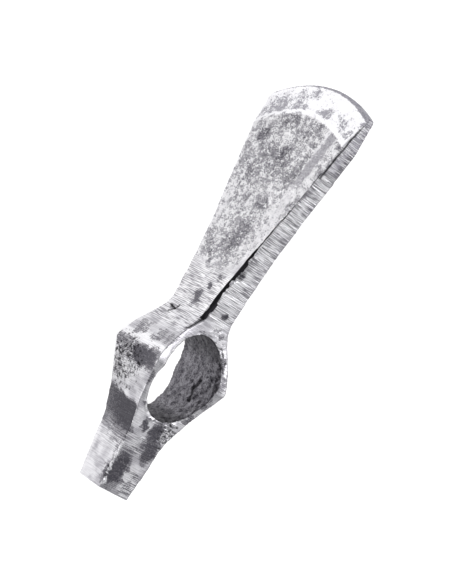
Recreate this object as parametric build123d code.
from build123d import *
import math
import os

# A hand-forged axe head with an oval haft eye and a small hammer poll, in three forge-welded pieces:
# the body with the eye, the facing plate lapped over one cheek, and the steel of the edge.
#
# Frame, in millimetres: the origin is the centre of the eye. +X runs along the head towards the
# edge, +Z is the axis of the eye, where the haft goes, and +Y points out of the plated cheek.

# Outline seen along the eye: (distance along the head, half thickness) of each corner
POLL_END = (-53.0, 7.7)
POLL_ROOT = (-27.0, 9.4)
CREST = (2.5, 19.2)
SHOULDER = (11.0, 15.9)
NECK = (25.5, 6.7)
WAIST = (58.0, 5.0)
FRONT = (130.3, 3.7)
POLL_LEAN = 1.2

# Outline seen from the cheek: (distance along the head, half height) of each corner
POLL_END_Z = 8.2
POLL_ROOT_Z = 10.6
LUG_FOOT = (-15.0, 11.6)
LUG_Z = 16.8
LUG_FRONT = (19.0, 13.2)
NECK_Z = 13.5
WAIST_Z = 18.8
TOP_CORNER_Z = 34.8
LOW_CORNER_Z = 33.8

# Curved edge, left blunt from the forge
EDGE_RADIUS = 72.0
EDGE_CENTRE_Z = 2.5
EDGE_HALF_T = 1.3
BEVEL_SLOPE = 0.185
BEVEL_REACH = 18.0

# Steel of the edge, with its tongue between the body and the plate
BIT_WIDTH = 14.0
TONGUE_DEPTH = 10.0
TONGUE_BACK_Y = -1.0

# Oval eye
EYE_HALF_LENGTH = 19.0
EYE_HALF_WIDTH = 14.2

# Facing plate: its feathered toe, its thickness, and how far its long edge stops short of the arris
TOE_X = 27.5
TOE_T = 0.5
FULL_X = 42.0
PLATE_T = 1.7
PLATE_TILT = 0.03
PLATE_INSET = 1.7

# Open seam along the plate's long edge, widest near the neck and shut further out
SEAM_WIDE_X = 40.0
SEAM_END_X = 94.0
SEAM_WIDTH = 1.0

FAR = 90.0

EDGE_CENTRE_X = FRONT[0] - EDGE_RADIUS


def corner_x(z):
    """Where the curved edge stands at this height."""
    return EDGE_CENTRE_X + math.sqrt(EDGE_RADIUS**2 - (z - EDGE_CENTRE_Z) ** 2)


def between(x, start, end):
    """The value at x on the straight run between two (x, value) corners."""
    return start[1] + (x - start[0]) / (end[0] - start[0]) * (end[1] - start[1])


def cheek_y(x):
    """Half thickness of the blade, between the neck and the edge."""
    if x < WAIST[0]:
        return between(x, NECK, WAIST)
    return between(x, WAIST, FRONT)


def top_z(x):
    """Height of the blade's upper border, ahead of the waist."""
    return between(x, (WAIST[0], WAIST_Z), (corner_x(TOP_CORNER_Z), TOP_CORNER_Z))


def seen_from_cheek(points):
    """Points given as (x, z), in the plane of the blade."""
    return [Vector(x, 0, z) for x, z in points]


def rounded(face, corners):
    """A flat face with the corners at each listed x rounded: corners holds (x, radius)."""
    for x, radius in corners:
        spots = [v for v in face.vertices() if abs(v.X - x) < 0.01]
        face = fillet(spots, radius)
    return face


def plan_slab():
    """The outline seen along the eye, higher than the head."""
    front_end = (FRONT[0] + 5, cheek_y(FRONT[0] + 5))
    plated = [POLL_ROOT, CREST, SHOULDER, NECK, WAIST, front_end]
    outline = [(POLL_END[0], POLL_END[1] - POLL_LEAN)]
    outline += plated
    outline += [(x, -y) for x, y in reversed(plated)]
    outline += [(POLL_END[0], -POLL_END[1] - POLL_LEAN)]
    face = make_face(Polyline(*outline, close=True))
    corners = [(POLL_ROOT[0], 22), (CREST[0], 3), (SHOULDER[0], 9), (NECK[0], 13), (WAIST[0], 80)]
    return extrude(rounded(face, corners), FAR, both=True)


def cheek_slab():
    """The outline seen from the cheek, with the curved edge, wider than the head."""
    behind = [(POLL_END[0], POLL_END_Z), (POLL_ROOT[0], POLL_ROOT_Z), LUG_FOOT, (CREST[0], LUG_Z)]
    behind += [LUG_FRONT, (NECK[0] + 2, NECK_Z), (WAIST[0], WAIST_Z)]
    top = behind + [(corner_x(TOP_CORNER_Z), TOP_CORNER_Z)]
    low = [(x, -z) for x, z in behind] + [(corner_x(-LOW_CORNER_Z), -LOW_CORNER_Z)]
    tip = (FRONT[0], EDGE_CENTRE_Z)
    edge = ThreePointArc(*seen_from_cheek([top[-1], tip, low[-1]]))
    poll_end = Line(*seen_from_cheek([low[0], top[0]]))
    borders = [Polyline(*seen_from_cheek(top)), edge, Polyline(*seen_from_cheek(low)), poll_end]
    face = make_face(borders)
    corners = [(POLL_ROOT[0], 30), (LUG_FOOT[0], 12), (CREST[0], 5), (LUG_FRONT[0], 14), (WAIST[0], 120)]
    corners += [(top[-1][0], 1.5), (low[-1][0], 3)]
    return extrude(rounded(face, corners), FAR, both=True)


def ahead_of_edge_centre():
    """The half of space towards the edge from the centre of its curve."""
    return Pos(EDGE_CENTRE_X + FAR / 2, 0, EDGE_CENTRE_Z) * Box(FAR, 2 * FAR, 2 * FAR)


def bevel_cutter():
    """The ring that takes the +Y cheek down to the blunt edge, following its curve."""
    inner = EDGE_RADIUS - BEVEL_REACH
    outer = EDGE_RADIUS + 8
    section = Polyline(
        (EDGE_CENTRE_X + inner, EDGE_HALF_T + (EDGE_RADIUS - inner) * BEVEL_SLOPE, EDGE_CENTRE_Z),
        (EDGE_CENTRE_X + outer, EDGE_HALF_T + (EDGE_RADIUS - outer) * BEVEL_SLOPE, EDGE_CENTRE_Z),
        (EDGE_CENTRE_X + outer, FAR / 3, EDGE_CENTRE_Z),
        (EDGE_CENTRE_X + inner, FAR / 3, EDGE_CENTRE_Z),
        close=True,
    )
    axis = Axis((EDGE_CENTRE_X, 0, EDGE_CENTRE_Z), (0, 1, 0))
    return revolve(make_face(section), axis, 360) & ahead_of_edge_centre()


def whole_head():
    """The head before it is parted into its welded pieces."""
    bevel = bevel_cutter()
    eye = extrude(Ellipse(EYE_HALF_LENGTH, EYE_HALF_WIDTH), FAR, both=True)
    return (plan_slab() & cheek_slab()) - bevel - mirror(bevel, Plane.XZ) - eye


def edge_ring(inner, outer):
    """All that lies between two distances from the centre of the edge's curve, ahead of it."""
    ring = Cylinder(outer, FAR, rotation=(90, 0, 0)) - Cylinder(inner, FAR, rotation=(90, 0, 0))
    return Pos(EDGE_CENTRE_X, 0, EDGE_CENTRE_Z) * ring & ahead_of_edge_centre()


def plate_border(widening=0.0):
    """The plate's long edge as (x, z) points, moved towards the arris by the seam's widening."""
    return [
        (TOE_X, between(TOE_X, (NECK[0], NECK_Z), (WAIST[0], WAIST_Z)) - PLATE_INSET),
        (SEAM_WIDE_X, between(SEAM_WIDE_X, (NECK[0], NECK_Z), (WAIST[0], WAIST_Z)) - PLATE_INSET + widening),
        (SEAM_END_X, top_z(SEAM_END_X)),
    ]


def lap_zone():
    """All that lies outside the lap surface on the +Y cheek, which nears the skin as Z grows."""
    surface = [
        (TOE_X, FAR / 2),
        (TOE_X, cheek_y(TOE_X) - TOE_T),
        (FULL_X, cheek_y(FULL_X) - PLATE_T),
        (FRONT[0], cheek_y(FRONT[0]) - PLATE_T),
        (FRONT[0], FAR / 2),
    ]
    outside = extrude(make_face(Polyline(*surface, close=True)), FAR / 2, dir=(0, PLATE_TILT, 1), both=True)
    border = plate_border()
    slope_end = (FRONT[0], between(FRONT[0], border[1], border[2]))
    below = border + [slope_end, (FRONT[0], -FAR / 2), (TOE_X, -FAR / 2)]
    return outside & extrude(make_face(Polyline(*seen_from_cheek(below), close=True)), FAR / 2, both=True)


def open_seam():
    """The groove left beside the plate's long edge, as deep as the plate is thick."""
    groove = plate_border() + [plate_border(SEAM_WIDTH)[1]]
    sliver = extrude(make_face(Polyline(*seen_from_cheek(groove), close=True)), FAR / 2, both=True)
    return sliver & Pos(0, cheek_y(SEAM_WIDE_X) - PLATE_T + FAR / 2, 0) * Box(4 * FAR, FAR, 4 * FAR)


def main():
    head = whole_head()
    bit_front = edge_ring(EDGE_RADIUS - BIT_WIDTH, EDGE_RADIUS + 10)
    lap = lap_zone() - bit_front
    tongue_slab = Pos(0, TONGUE_BACK_Y + FAR / 2, 0) * Box(4 * FAR, FAR, 4 * FAR)
    tongue = edge_ring(EDGE_RADIUS - BIT_WIDTH - TONGUE_DEPTH, EDGE_RADIUS - BIT_WIDTH) & tongue_slab
    bit_zone = bit_front + (tongue - lap)
    pieces = {
        "cheek_plate": head & lap,
        "steel_bit": head & bit_zone,
        "forged_body": head - lap - bit_zone - open_seam(),
    }
    os.makedirs("parts", exist_ok=True)
    for name, piece in pieces.items():
        export_step(piece, f"parts/{name}.step")
        print(name, len(piece.solids()), "solid", round(piece.volume / 1000, 2), "cm3")


main()
